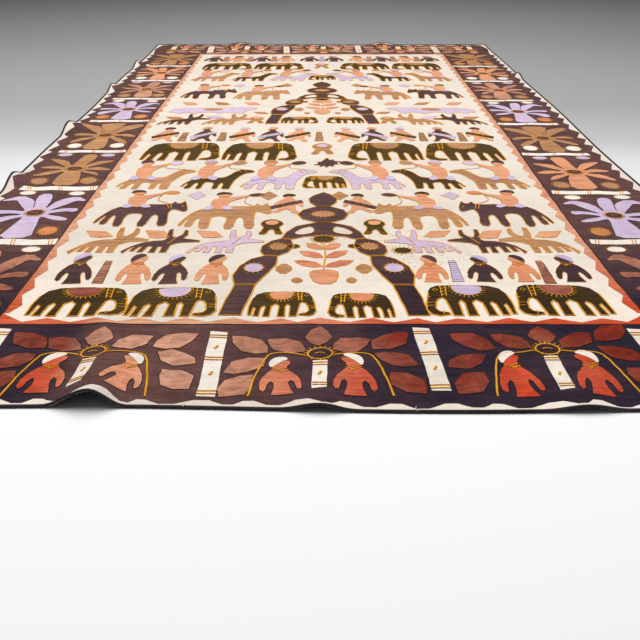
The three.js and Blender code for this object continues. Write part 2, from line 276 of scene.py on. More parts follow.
def cottonMaterial(c):
    # hand-woven plain cotton: matt, threads catching a little light, puckered where it is sewn down
    material, tree, coords = newMaterial(c["name"])
    dyed = mixed(tree, palenessMap(tree, coords), linear(c["deep"]), linear(c["pale"]))

    # threads 0.6 mm apart, drawn three times as coarse so that they show
    threads = [noisy(tree, addNode(tree, "Mapping", {0: coords, 3: scale}).outputs[0], 1, 2)
               for scale in ((60, 550, 60), (550, 60, 60))]
    weave = reckoned(tree, "ADD", *threads)

    # puckers run across the cloth, and rumples every way; both raise the surface, and painted shade and light
    # colour them as well
    wavy = addNode(tree, "Mapping", {0: coords, 3: (9, 1000 / c["puckerGap"], 9)}).outputs[0]
    pucker = noisy(tree, wavy, 1, 3, Distortion=0.4)
    rumpleShading = noisy(tree, coords, 24, 3, Distortion=1.2)
    island = addNode(tree, "NewGeometry").outputs["Random Per Island"]
    # painted shade and light: darker in the troughs of the puckers and rumples, lighter on their crests, over
    # the real mottling, dye lots and threads
    shade = ranged(tree, pucker, 0.38, 0.6, 1 - c["puckerShade"], 1 + 0.3 * c["puckerShade"])
    for value, low, high, key in ((noisy(tree, coords, 14, 5), 0.3, 0.7, "mottle"), (island, 0, 1, "dyeLots"),
                                  (weave, 0.7, 1.3, "threadShade"), (rumpleShading, 0.34, 0.66, "rumpleShading")):
        shade = reckoned(tree, "MULTIPLY", shade, ranged(tree, value, low, high, 1 - c[key], 1 + c[key]))
    colour = addNode(tree, "VectorMath", {0: dyed, "Scale": shade}, operation="SCALE").outputs[0]
    if c.get("stains"):
        colour = stained(tree, coords, colour, c["stains"])

    relief = reckoned(tree, "MULTIPLY", pucker, c["puckerDepth"])
    relief = reckoned(tree, "MULTIPLY_ADD", weave, c["threadDepth"], relief)
    relief = reckoned(tree, "MULTIPLY_ADD", rumpleShading, c["rumpleDepth"], relief)
    surface(tree, colour, 0.95, 0.08, **{"Sheen Weight": 0.02, "Sheen Roughness": 0.5},
            Normal=raised(tree, relief, 0.8, 0.0016))
    return material


def stained(tree, coords, colour, stains):
    # brown spots from use and storage, thickest round one place, over a broad yellowing
    spots = noisy(tree, coords, 1000 / stains["size"], 3, Roughness=0.6)
    strong = ranged(tree, spots, stains["from"], stains["from"] + 0.05)
    centre = addNode(tree, "VectorMath", {0: coords, 1: [v * mm for v in stains["centre"]]},
                     operation="DISTANCE").outputs[1]
    near = ranged(tree, centre, 0.05, stains["radius"] * mm, 0.75, 0)
    yellowed = ranged(tree, noisy(tree, coords, 2.6, 6), 0.5, 0.75, 0, stains["yellowing"])
    aged = mixed(tree, yellowed, colour, linear("#e3cfae"))
    return mixed(tree, reckoned(tree, "MULTIPLY", strong, near), aged, linear("#a8804c"))


plain = {"puckerGap": 7, "puckerDepth": 0.6, "puckerShade": 0.24, "mottle": 0.06,
         "rumpleShading": 0.06, "rumpleDepth": 2.2, "dyeLots": 0.05, "threadShade": 0.08, "threadDepth": 0.12}
cottons = {
    "cream": {**plain, "name": "undyed plain-weave cotton", "deep": "#efe2d3", "pale": "#d8cdc0",
              "puckerGap": 30, "puckerDepth": 0.25, "puckerShade": 0.03, "mottle": 0.02, "rumpleShading": 0.02,
              "stains": {"size": 13, "from": 0.6, "centre": (260, -1420, 0), "radius": 330,
                         "yellowing": 0.3}},
    "white": {**plain, "name": "bleached cotton patches", "deep": "#ebe0d2", "pale": "#ece2d5",
              "puckerShade": 0.05, "mottle": 0.03},
    "aubergine": {**plain, "name": "aubergine cotton, brown in places", "deep": "#28202f", "pale": "#664641",
                  "puckerGap": 16, "puckerShade": 0.2, "mottle": 0.1, "rumpleShading": 0.12, "rumpleDepth": 4},
    "ink": {**plain, "name": "dark indigo-brown cotton patches", "deep": "#33222a", "pale": "#5d4342",
            "puckerShade": 0.34},
    "olive": {**plain, "name": "olive-brown cotton patches", "deep": "#3b2b17", "pale": "#54401f",
              "puckerShade": 0.34},
    "lilac": {**plain, "name": "lilac cotton patches", "deep": "#c3b0cf", "pale": "#cbb6cc",
              "puckerShade": 0.1},
    "tan": {**plain, "name": "tan cotton patches", "deep": "#b0794b", "pale": "#bc8a62",
            "puckerShade": 0.32, "dyeLots": 0.08},
    "peach": {**plain, "name": "peach cotton patches", "deep": "#d9835a", "pale": "#e0a07a",
              "puckerShade": 0.24},
    "leaf": {**plain, "name": "madder-red cotton leaves", "deep": "#7c281a", "pale": "#cb957a",
             "puckerGap": 11, "puckerShade": 0.12, "rumpleShading": 0.24, "rumpleDepth": 7, "dyeLots": 0.12},
    "robe": {**plain, "name": "scarlet cotton robes", "deep": "#c6371c", "pale": "#df9a76",
             "puckerShade": 0.2, "rumpleShading": 0.12, "rumpleDepth": 5},
    "strip": {**plain, "name": "orange-red cotton strips", "deep": "#cc4a27", "pale": "#dfa883",
              "puckerGap": 12},
    "orange": {**plain, "name": "orange cotton ovals", "deep": "#c97840", "pale": "#d08a54",
               "puckerShade": 0.24},
}
materials = {key: cottonMaterial(c) for key, c in cottons.items()}


def cordMaterial(name, code, dark):
    # yarn, thread and tape: plies about 4 mm apart, paler where they are worn, soft sheen
    material, tree, coords = newMaterial(name)
    plies = noisy(tree, coords, 260, 2)
    worn = reckoned(tree, "ADD", plies, noisy(tree, coords, 22, 4))
    colour = mixed(tree, ranged(tree, worn, 0.75, 1.25), linear(dark), linear(code))
    surface(tree, colour, 0.85, 0.12, **{"Sheen Weight": 0.03}, Normal=raised(tree, plies, 0.6, 0.001))
    return material


# the ground cloth's underside, painted dark: it stands for the shade under the lifted edges
shadedUnderside = cordMaterial("cloth underside, painted shade", "#221d1e", "#171314")
goldYarn = cordMaterial("mustard cotton yarn", "#ffb92e", "#dd8f14")
# dark thread: painted shadow round patches and at the red strips' join, and the lines across the pillars
stitchAndShadowThread = cordMaterial("dark thread, stitch lines and painted shadow", "#4b332e", "#2c2022")
bindingTape = cordMaterial("black cotton tape", "#3a3236", "#262024")
looseThread = cordMaterial("loose cream thread", "#e8dcc8", "#cbb998")
print("materials mixed")

# Sewing: patches by cotton, yarn laid on them, and dark thread that paints the shadow round some of their
# edges
patches = {key: [] for key in cottons}
yarns = []
stitchAndShadowLines = []
stitchGap = 15  # between the points of a cut edge or a laid cord


def strayed(p):
    # the hand's unevenness, the same for all that is sewn at one place
    slow = noise.noise_vector(Vector((p.x / 85, p.y / 85, 3.1)))
    quick = noise.noise_vector(Vector((p.x / 24, p.y / 24, 7.7)))
    return Vector((p.x + 2.6 * slow.x + 1.2 * quick.x, p.y + 2.6 * slow.y + 1.2 * quick.y))


def rounded(line, closed, times):
    line = [Vector(p) for p in line]
    for _ in range(times):
        pairs = list(zip(line, line[1:] + line[:1])) if closed else list(zip(line, line[1:]))
        cut = [q for a, b in pairs for q in (a.lerp(b, 0.24), a.lerp(b, 0.76))]
        line = cut if closed else [line[0], *cut[1:-1], line[-1]]
    return line


def handCut(points, closed, rounding):
    line = rounded(points, closed, rounding)
    pairs = zip(line, line[1:] + line[:1]) if closed else zip(line, line[1:])
    fine = []
    for a, b in pairs:
        count = max(1, math.ceil((b - a).length / stitchGap))
        fine += [a.lerp(b, k / count) for k in range(count)]
    if not closed:
        fine.append(line[-1])
    return [strayed(p) for p in fine]


def cord(line, width, level, closed=False):
    return {"line": line, "width": width, "level": level, "closed": closed}


def couch(points, width, level, closed=False, rounding=0):
    yarns.append(cord(handCut(points, closed, rounding), width, level, closed))


def couchBelow(shape, top, width, level):
    # yarn along the stretches of a closed outline that lie below a height
    first = next(k for k, p in enumerate(shape) if p.y > top)
    run = []
    for p in shape[first:] + shape[:first + 1]:
        if p.y <= top:
            run.append(p)
            continue
        if len(run) > 1:
            yarns.append(cord(run, width, level))
        run = []


def sew(cotton, points, level=0, trim=None, rounding=1, shadowOutline=None):
    shape = handCut(points, True, rounding)
    patches[cotton].append({"shape": shape, "level": level})
    if trim:
        yarns.append(cord(shape, trim, level, True))
    # a dark thread round the patch is painted shadow under its edge
    if shadowOutline:
        stitchAndShadowLines.append(cord(shape, shadowOutline, level, True))
    return shape


def setDown(x, y, across=1.0, up=1.0, turn=0.0):
    # carries a motif's own points to its place on the cloth
    c, s = math.cos(math.radians(turn)), math.sin(math.radians(turn))

    def carried(points):
        out = []
        for px, py in points:
            px, py = px * across, py * up
            out.append((x + px * c - py * s, y + px * s + py * c))
        return out
    return carried


def oval(x, y, width, height, sides):
    angles = [2 * math.pi * k / sides for k in range(sides)]
    return [(x + width / 2 * math.cos(a), y + height / 2 * math.sin(a)) for a in angles]


def lozenge(x, y, width, height, lean=0):
    return [(x - width / 2, y), (x + lean, y - height / 2),
            (x + width / 2, y), (x + lean, y + height / 2)]


def rays(x, y, width, height, count, length, level, start=0.0, end=360.0, yarn=2.4):
    for k in range(count):
        a = math.radians(start + (end - start) * (k + 0.5) / count)
        c, s = math.cos(a), math.sin(a)
        inner = (x + width / 2 * c, y + height / 2 * s)
        outer = (x + (width / 2 + length) * c, y + (height / 2 + length) * s)
        couch([inner, outer], yarn, level)


# Motifs, each drawn facing right on a base line
elephantShape = {
    "width": 240, "height": 155,
    "body": [
        (-121, 6), (-120, 60), (-114, 106), (-100, 137), (-74, 151), (-20, 155), (40, 155), (76, 152),
        (94, 142), (104, 122), (111, 84), (119, 30), (109, 8), (88, 0), (58, 5), (60, 15), (84, 20), (92, 34),
        (88, 64), (80, 80), (68, 86), (60, 76), (50, 0), (24, 0), (26, 60), (18, 74), (10, 60),
        (10, 0), (-16, 0), (-12, 62), (-24, 76), (-40, 62), (-44, 0), (-68, 0), (-60, 56),
        (-66, 66), (-76, 54), (-82, 2), (-102, 2), (-96, 48), (-103, 56), (-110, 6)],
    "saddle": [(-52, 149), (32, 156), (36, 134), (24, 110), (-8, 98), (-38, 106), (-52, 128)],
    "collar": [[(50, 152), (56, 94)], [(66, 151), (68, 92)], [(50, 140), (67, 132)], [(51, 124), (67, 116)],
               [(53, 108), (68, 101)]],
    "eye": [(77, 128), (84, 136), (91, 128), (84, 120)],
    "ticks": [[(95, 62), (112, 60)], [(97, 48), (115, 46)], [(102, 90), (109, 86)],
              [(36, 154), (40, 142)], [(74, 22), (76, 8)]],
    "cordBelow": 0.74,  # of its height, so that the back has none
    "fringe": {"middle": (-8, 142), "width": 90, "height": 88, "rays": 13, "length": 12},
}
horseShape = {
    "width": 276, "height": 236,
    "body": [
        (-138, 26), (-118, 80), (-88, 116), (-50, 130), (0, 128), (26, 136), (40, 164), (54, 198),
        (74, 221), (88, 236), (97, 228), (122, 223), (138, 205), (130, 191), (106, 186), (91, 168),
        (76, 132), (62, 94), (57, 40), (56, 4), (50, 0), (25, 0), (26, 58), (19, 70), (11, 58), (8, 0),
        (-15, 0), (-10, 58), (-22, 74), (-44, 75), (-51, 58), (-54, 0), (-78, 0), (-70, 58), (-79, 68),
        (-88, 56), (-98, 2), (-124, 4), (-110, 56), (-117, 63), (-129, 24)],
    "bridle": [[(90, 228), (102, 198)], [(70, 214), (86, 192)]],
    "seat": (-56, 126),
}
bigCatShape = {
    "width": 300, "height": 250,
    "body": [
        (-150, 30), (-134, 96), (-104, 156), (-56, 184), (14, 188), (66, 186), (88, 190), (96, 214),
        (106, 194), (120, 194), (130, 218), (138, 194), (150, 150), (152, 128), (140, 120), (118, 136),
        (98, 144), (92, 100), (104, 8), (70, 0), (62, 84), (48, 96), (38, 84), (32, 0), (0, 0),
        (8, 88), (-10, 106), (-40, 104), (-52, 84), (-48, 0), (-80, 0), (-84, 82), (-92, 90),
        (-100, 76), (-104, 14), (-130, 18), (-118, 84), (-126, 82), (-138, 24)],
    "bridle": [[(84, 188), (94, 146)], [(72, 186), (84, 148)], [(126, 172), (136, 158)]],
    "seat": (-34, 172),
}
deerShape = [
    (-124, 10), (-98, 44), (-66, 68), (-30, 80), (4, 82), (14, 94), (8, 122), (10, 156), (24, 160),
    (28, 128), (34, 106), (48, 106), (64, 124), (66, 156), (80, 150), (84, 122), (72, 98),
    (100, 92), (130, 84), (128, 73), (92, 72), (56, 66), (34, 50), (30, 4), (8, 4), (8, 40), (-4, 40),
    (-8, 4), (-28, 4), (-24, 42), (-38, 44), (-48, 6), (-68, 6), (-58, 42), (-68, 40), (-80, 10),
    (-96, 12), (-86, 38), (-98, 30), (-114, -2)]
lowBeastShape = [  # the long animal that lies along its row
    (-206, 40), (-190, 84), (-150, 104), (-60, 110), (60, 110), (130, 116), (168, 126), (206, 108),
    (200, 86), (166, 70), (152, 44), (150, 12), (120, 10), (114, 30), (56, 30), (50, 10), (22, 8),
    (18, 30), (-58, 30), (-64, 10), (-92, 10), (-96, 30), (-134, 28), (-144, 10), (-168, 12),
    (-170, 34), (-190, 24)]
riderShape = {
    "body": [
        (-26, -8), (-34, 34), (-30, 62), (-12, 74), (-8, 86), (-16, 96), (-8, 112), (20, 112),
        (36, 104), (22, 90), (14, 80), (40, 80), (98, 100), (102, 92), (44, 58), (30, 38), (32, -8)],
    "cap": [(-24, 98), (-18, 116), (4, 124), (28, 118), (38, 104), (16, 106), (-4, 102)],
    "trousers": [
        [(-56, -12), (-38, -17), (-20, -12), (-14, 2), (-28, 12), (-48, 8)],
        [(12, 4), (28, 12), (46, 6), (54, -10), (38, -17), (20, -12)]],
    "fan": [(94, 98), (108, 112), (136, 119), (164, 110), (154, 94), (120, 87)],
}
attendantShape = {
    "robe": [
        (-31, 0), (33, 2), (24, 30), (20, 54), (26, 66), (34, 58), (38, 40), (42, 24), (52, 20), (58, 34),
        (56, 62), (46, 88), (30, 108), (20, 120), (22, 134), (33, 148), (34, 160), (18, 163), (-6, 166),
        (-22, 152), (-24, 134), (-20, 120), (-36, 104), (-50, 80), (-59, 52), (-60, 26), (-50, 16), (-42, 24),
        (-38, 46), (-28, 62), (-21, 54), (-22, 32)],
    "cap": [(-25, 124), (-30, 144), (-22, 164), (-4, 176), (18, 178), (30, 168), (12, 158), (-8, 142)],
    "collar": [[(-22, 120), (-4, 110), (10, 110), (24, 118)], [(-22, 128), (-2, 118), (21, 126)],
               [(-2, 114), (4, 100), (10, 113)]],
}
runnerShape = {
    "body": [
        (-56, 8), (-34, 6), (-20, 24), (0, 32), (16, 18), (22, 2), (48, 0), (50, 10), (36, 20),
        (28, 52), (38, 74), (56, 48), (66, 52), (60, 84), (36, 104), (18, 112), (20, 132), (-12, 134),
        (-16, 112), (-34, 98), (-58, 66), (-50, 56), (-28, 66), (-22, 48), (-44, 24), (-62, 20)],
    "cap": [(-26, 128), (-22, 148), (0, 158), (24, 152), (32, 138), (10, 136)],
    "sash": [(-72, 52), (-62, 32), (64, 84), (54, 104)],
    "specks": (-44, -18, 10, 36),
}
potShape = {  # a round-bellied stool on two splayed feet
    "body": [
        (-44, 0), (-16, 0), (-8, 42), (8, 42), (14, 0), (42, 0), (34, 30), (24, 64), (40, 94),
        (26, 120), (6, 134), (-10, 134), (-30, 120), (-42, 94), (-26, 64), (-34, 30)],
    "mouth": (-1, 102, 46, 42),
}
birdShape = [
    (-54, 20), (-30, 34), (-34, 52), (-20, 46), (-10, 62), (4, 84), (12, 60), (26, 70), (30, 52),
    (56, 56), (38, 40), (48, 26), (28, 28), (24, 8), (10, 18), (-2, 0), (-8, 18), (-26, 6), (-24, 22)]
shardShape = [(-0.5, 0.46), (-0.2, -0.4), (0.1, -0.5), (0.5, -0.36), (0.2, 0.34)]


def elephant(x, y, width, height, facing, saddle, trim):
    across, up = width / elephantShape["width"], height / elephantShape["height"]
    at = setDown(x, y, facing * across, up)
    shape = sew("olive", at(elephantShape["body"]), rounding=0)
    couchBelow(shape, y + elephantShape["cordBelow"] * height, trim, 0)
    sew(saddle, at(elephantShape["saddle"]), 1, 2.0)
    fringe = elephantShape["fringe"]
    rays(*at([fringe["middle"]])[0], fringe["width"] * across, fringe["height"] * up, fringe["rays"],
         fringe["length"], 1, 180, 360, yarn=2.8)
    for line in elephantShape["collar"] + elephantShape["ticks"]:
        couch(at(line), 3.6, 0.9)
    couch(at(elephantShape["eye"]), 3.0, 0.9, closed=True)


def rider(x, y, facing, across, up, cap, fan, back):
    def at(points):  # leans back from the seat
        return setDown(x, y, facing * across, up)([(px - back * py, py) for px, py in points])
    sew("peach", at(riderShape["body"]), 1, 1.6)
    sew(cap, at(riderShape["cap"]), 2)
    for leg in riderShape["trousers"]:
        sew("lilac", at(leg), 2, rounding=0)
    sew(fan, at(riderShape["fan"]), 0, trim=2.6)
    couch(at([(-8, 88), (16, 84)]), 2.2, 1.9)
    return at([(98, 94)])[0]


def mounted(shape, cotton, x, y, width, height, facing, across, up, cap, fan, back):
    at = setDown(x, y, facing * width / shape["width"], height / shape["height"])
    sew(cotton, at(shape["body"]), trim=3.0)
    seat = at([shape["seat"]])[0]
    hand = rider(*seat, facing, across, up, cap, fan, back)
    head = at([shape["bridle"][0][0]])[0]
    sag = (min(hand[0], head[0], key=lambda v: v * facing) - 14 * facing, (hand[1] + head[1]) / 2 - 14)
    couch([hand, sag, head], 3.0, 1, rounding=2)
    for line in shape["bridle"]:
        couch(at(line), 3.4, 0.9)


def attendant(x, y, facing, robe, cap, across, up, level=0, trim=1.6, shadowOutline=None, slant=0):
    # slant leans the figure, as none of the hand-cut ones stands quite upright
    at = setDown(x, y, facing * across, up)

    def lean(points):
        return at([(px + slant * py, py) for px, py in points])
    sew(robe, lean(attendantShape["robe"]), level, trim, rounding=0, shadowOutline=shadowOutline)
    sew(cap, lean(attendantShape["cap"]), level + 1)
    for line in attendantShape["collar"]:
        couch(lean(line), 3.0, level + 0.9)


def runner(x, y, facing, robe, cap, sash, up=1.5):
    at = setDown(x, y, facing * 0.84, up)
    sew(robe, at(runnerShape["body"]), trim=1.8)
    sew(cap, at(runnerShape["cap"]), 1)
    sew(sash, at(runnerShape["sash"]), 1, rounding=0)
    for spot in runnerShape["specks"]:
        mark = spot * 0.39 + 72
        couch(at([(spot - 3, mark - 4), (spot + 3, mark + 4)]), 2.4, 1.9)


def pot(x, y, cotton, mouth, across, up):
    at = setDown(x, y, across, up)
    sew(cotton, at(potShape["body"]), trim=3.0)
    sew(mouth, at(oval(*potShape["mouth"], 10)), 1, trim=2.2)
    for lift in (10, 20):
        for foot in (-30, 27):
            couch(at([(foot - 12, lift), (foot + 12, lift)]), 1.8, 0.9)


def shard(x, y, width, height, facing, cotton, trim=2.4):
    # a cut-off leaf shape between the animals
    sew(cotton, setDown(x, y, facing * width, height)(shardShape), trim=trim, rounding=0)


leafShapes = [  # along the leaf, and half widths across it
    [(0, 0), (0.24, 0.74), (0.62, 0.98), (0.86, 0.5), (1, 0), (0.72, -0.78), (0.34, -0.94), (0.1, -0.42)],
    [(0, 0.05), (0.16, 0.62), (0.44, 1), (0.8, 0.56), (1, -0.08), (0.78, -0.62), (0.42, -0.98),
     (0.16, -0.6)],
    [(0, 0), (0.2, 0.86), (0.52, 0.94), (0.84, 0.7), (1, 0.1), (0.66, -0.92), (0.3, -0.8)],
    [(0, -0.04), (0.3, 0.76), (0.64, 0.98), (1, 0.04), (0.8, -0.7), (0.5, -0.98), (0.18, -0.56)],
]


def leaf(x, y, length, width, turn, cotton="leaf", level=1, trim=None, kind=0, shadowOutline=None):
    # pointed at both ends, with uneven shoulders; from its stalk outwards
    at = setDown(x, y, 1, 1, turn)
    shape = at([(px * length, py * width / 2) for px, py in leafShapes[kind % len(leafShapes)]])
    sew(cotton, shape, level, trim, rounding=0, shadowOutline=shadowOutline)


def rayedOval(cotton, x, y, width, height, sides, count, length, level=0, trim=None, yarn=2.4):
    sew(cotton, oval(x, y, width, height, sides), level, trim)
    rays(x, y, width, height, count, length, level, yarn=yarn)


# The arch of blocks, its right half from the foot to the finial and back down inside
archShape = {
    "outer": [
        (262, 0), (254, 90), (240, 176), (250, 236), (238, 300), (206, 350), (172, 372), (186, 404),
        (184, 446), (160, 486), (128, 504), (114, 560), (88, 606), (24, 638), (68, 668), (84, 712),
        (66, 756), (22, 788), (44, 826), (50, 868), (32, 906)],
    "top": [(0, 934)],
    "crown": [(0, 528)],
    "inner": [
        (58, 520), (98, 496), (88, 446), (104, 400), (134, 370), (136, 306), (160, 236), (184, 176),
        (196, 90), (208, 0)],
    "joints": [[(240, 176), (184, 176)], [(172, 372), (134, 370)], [(128, 504), (98, 496)],
               [(24, 638), (-24, 638)], [(22, 788), (-22, 788)]],
    "pane": [(26, 552), (74, 532), (92, 548), (70, 584), (34, 604)],
    "rosettes": [(196, 286, 54, 60, "lilac"), (136, 440, 48, 50, "tan")],
}


def arch(y):
    at = setDown(0, y)
    left = [[(-px, py) for px, py in archShape[k]][::-1] for k in ("outer", "inner")]
    outline = [*archShape["outer"], *archShape["top"], *left[0], *left[1],
               *archShape["crown"], *archShape["inner"]]
    sew("ink", at(outline), trim=4.2, rounding=0)
    for side in (-1, 1):
        half = setDown(0, y, side)
        for joint in archShape["joints"]:
            (ax, ay), (bx, by) = half(joint)
            couch([(ax, ay - 3), (bx, by - 3)], 3.2, 0.9)
            couch([(ax, ay + 3), (bx, by + 3)], 3.2, 0.9)
        sew("cream", half(archShape["pane"]), 1, trim=3.2)
        for rx, ry, w, h, cotton in archShape["rosettes"]:
            sew(cotton, half(oval(rx, ry, w, h, 12)), 1, trim=2.6)
            cx, cy = half([(rx, ry)])[0]
            rays(cx, cy, w, h, 14, 9, 1)
    sew("tan", at(oval(0, 712, 74, 52, 12)), 1, trim=2.6)
    rays(*at([(0, 712)])[0], 74, 52, 16, 8, 1)


def floweringPlant(y):
    # stands under the arch: a pot, a stem, leaves in pairs and a flower
    sew("peach", [(-26, y), (26, y), (44, y + 74), (22, y + 92), (-22, y + 92), (-44, y + 74)], trim=2.6)
    couch([(0, y + 90), (4, y + 190), (0, y + 292)], 5, 0.6, rounding=1)
    for height, length, turn in ((112, 92, 28), (176, 84, 36), (238, 66, 44)):
        for side in (-1, 1):
            leaf(3 * side, y + height, length, 40, 90 - side * (90 - turn), "robe", 0, 2.4)
    rayedOval("olive", 0, y + 318, 66, 58, 12, 16, 10, trim=3)
    for side in (-1, 1):
        sew("olive", oval(side * 92, y + 262, 44, 34, 10), trim=2.6)
        sew("tan", lozenge(side * 112, y + 100, 58, 84), trim=2.6)
        sew("tan", lozenge(side * 74, y + 24, 38, 44), trim=2.4)


riderRows = {  # reach of the riders' arms and their height, against the motif's own size
    "wild": {"across": 0.92, "up": 1.3},
    "horse": {"across": 0.9, "up": 1.82},
}


def wildRow(s, y):
    for cotton, x, rise, width, cap, fan, back in (
            ("ink", 594, 6, 284, "ink", "orange", 0.24), ("tan", 316, -16, 290, "olive", "ink", 0)):
        mounted(bigCatShape, cotton, s * x, y + rise, width, 276, -s, **riderRows["wild"],
                cap=cap, fan=fan, back=back)


def horseRow(s, y):
    for cotton, x, width, cap, fan, back in (
            ("tan", 609, 268, "ink", "lilac", 0.24), ("olive", 384, 258, "lilac", "tan", 0.04),
            ("lilac", 160, 278, "tan", "ink", -0.08)):
        mounted(horseShape, cotton, s * x, y, width, 236, -s, **riderRows["horse"],
                cap=cap, fan=fan, back=back)


nearElephants = [  # left edge to right edge of the cloth: x, base, width, height, saddle
    (-621, 45, 244, 165, "leaf"), (-384, 43, 229, 167, "lilac"), (-105, 46, 172, 138, "peach"),
    (91, 38, 167, 138, "peach"), (368, 50, 222, 175, "lilac"), (606, 51, 234, 176, "leaf"),
]
nearAttendants = [  # x, base, robe, cap, width and height against the motif's own, slant
    (-680, 232, "ink", "lilac", 0.8, 1.16, -0.1), (-517, 232, "peach", "ink", 0.78, 1.14, -0.1),
    (-421, 232, "ink", "lilac", 0.8, 1.12, 0), (-306, 232, "peach", "ink", 0.78, 1.12, 0),
    (295, 244, "peach", "ink", 0.74, 1.02, -0.05), (438, 244, "ink", "lilac", 0.78, 1.02, -0.05),
    (546, 244, "peach", "ink", 0.74, 1.02, -0.05), (681, 244, "ink", "lilac", 0.8, 1.04, -0.05),
]


def nearRows(y):
    # the first repeat, as the photograph shows it; y is its near end
    arch(y + 50)
    floweringPlant(y + 232)

    for s in (-1, 1):
        face = -s  # the left half faces right, and the right half left
        pillar(s * 610, y + 236, 31, 150, "leaf")
        for dx, cotton, up in ((642, "tan", 1.28), (487, "ink", 1.18), (294, "lilac", 1.16)):
            sew(cotton, setDown(s * dx, y + 440, face * 0.87, up)(deerShape), trim=3.0, rounding=0)
            couch([(s * dx + face * 20, y + 506), (s * dx + face * 42, y + 562)], 3.4, 0.9)
        for lx, width, height in ((690, 94, 58), (512, 84, 72), (350, 88, 58)):
            shard(s * lx, y + 590, width, height, face, "peach")
        wildRow(s, y + 648)
        sew("lilac", lozenge(s * 440, y + 950, 66, 84, 6), trim=1.8, rounding=0)
        runner(s * 120, y + 772, face, "peach", "olive", "ink", 1.25)
        pot(s * 162, y + 588, "olive", "peach", 0.92, 0.96)
        horseRow(s, y + 1018)
        elephant(s * 250, y + 1366, 300, 255, face, "tan", 3.6)
        elephant(s * 567, y + 1366, 312, 255, face, "tan", 3.6)
        for rx, robe, cap, sash in ((104, "peach", "lilac", "olive"), (222, "ink", "peach", "lilac"),
                                    (346, "peach", "lilac", "olive"), (514, "ink", "peach", "lilac"),
                                    (680, "peach", "ink", "olive")):
            runner(s * rx, y + 1642, face, robe, cap, sash)
        for px in (432, 600):
            pillar(s * px, y + 1648, 36, 140, "tan")

    for ex, base, width, height, saddle in nearElephants:
        elephant(ex, y + base, width, height, 1 if ex < 0 else -1, saddle, 3.8 if saddle == "peach" else 4.6)
    for ax, base, robe, cap, across, up, slant in nearAttendants:
        attendant(ax, y + base, 1 if ax < 0 else -1, robe, cap, across, up, slant=slant)
    pillar(364, y + 248, 32, 140, "lilac")
    rayedOval("olive", 232, y + 462, 52, 44, 12, 16, 10, trim=2.2)
    for lx in (-189, 57):
        sew("tan", lozenge(lx, y + 948, 62, 92), trim=2.4, rounding=0)
    elephant(4, y + 1030, 160, 140, -1, "tan", 4.0)
    sew("ink", setDown(14, y + 1270, 1.05, 1.65)(birdShape), trim=2.2)
    pot(0, y + 1454, "tan", "lilac", 1.1, 1.2)
    pillar(-14, y + 1648, 36, 150, "tan")


def farRows(y):
    # the second repeat: its first two rows show, and the rest follow the first one's order
    arch(y + 50)
    floweringPlant(y + 232)

    for s in (-1, 1):
        face = -s  # the left half faces right, and the right half left
        elephant(s * 104, y + 62, 174, 120, face, "tan", 3.0)
        for dx, cotton in ((640, "ink"), (436, "tan")):
            sew(cotton, setDown(s * dx, y + 34, face * 0.95, 1.3)(deerShape), trim=2.8)
        shard(s * 690, y + 160, 96, 56, face, "tan", 2.0)
        shard(s * 500, y + 168, 92, 60, face, "lilac", 2.0)
        pot(s * 306, y + 62, "tan", "peach", 0.9, 0.9)
        sew("lilac", setDown(s * 530, y + 240, face * 1.04, 1.1)(lowBeastShape), trim=2.4)
        sew("tan", oval(s * 530, y + 330, 96, 44, 12), 1, trim=2.0)
        shard(s * 292, y + 262, 80, 50, face, "tan", 2.0)
        for lx, cotton in ((660, "peach"), (500, "tan"), (350, "peach")):
            shard(s * lx, y + 456, 86, 66, face, cotton)
        wildRow(s, y + 560)
        sew("lilac", lozenge(s * 452, y + 884, 66, 76, 6), trim=1.8, rounding=0)
        sew("tan", lozenge(s * 192, y + 896, 66, 84), trim=2.0, rounding=0)
        horseRow(s, y + 1008)
        elephant(s * 258, y + 1352, 300, 215, face, "tan", 3.4)
        elephant(s * 572, y + 1352, 300, 215, face, "tan", 3.4)
        for ax, robe, cap in ((684, "ink", "lilac"), (532, "peach", "ink"), (380, "ink", "lilac"),
                              (228, "peach", "ink"), (78, "ink", "lilac")):
            attendant(s * ax, y + 1612, face, robe, cap, 1.02, 1.1)
        for px in (608, 456, 304):
            pillar(s * px, y + 1616, 44, 170, "leaf")

    elephant(0, y + 1034, 158, 140, -1, "tan", 3.0)
    pot(0, y + 1390, "tan", "lilac", 1.1, 1.2)
    pillar(0, y + 1616, 40, 170, "lilac")


def pillar(x, y, width, height, cotton):
    half = width / 2
    # the outline gets the dark thread of painted shadow
    sew(cotton, [(x - half, y), (x + half, y), (x + half * 0.58, y + height),
                 (x - half * 0.58, y + height)], rounding=0, shadowOutline=1.6)
    for up in (0.1, 0.9):
        couch([(x - half * 0.8, y + height * up), (x + half * 0.8, y + height * up)], 2, 0.9)
    for up in range(2, 9):
        reach = half * (0.97 - 0.042 * up)
        line = handCut([(x - reach, y + height * up / 10), (x + reach, y + height * up / 10)], False, 0)
        stitchAndShadowLines.append(cord(line, 1.8, 0))


# Borders
border = {
    "pitch": 505,          # from one spray to the next along an end border
    "toothPitch": 115,
    "toothDepth": 27,
    "toothMargin": 15,
    "endPitch": 105.7,
    "endDepth": 30,
    "endMargin": 12,
    "innerPitch": 105,
    "innerRoot": 13,
    "innerTip": 32,
    "endRoot": 14,
    "endTip": 36,
    "cornerPatch": 62,
    "postFromEdge": 68,
}


def edgeWander(along, half, edge):
    wander, phase = edge
    nearCorner = np.clip((half - np.abs(along)) / cloth["cornerEase"], 0, 1)
    wave = np.sin(along / 310 + phase) * np.cos(along / 730 + 2 * phase)
    return wander * nearCorner * (0.5 + 0.5 * wave)


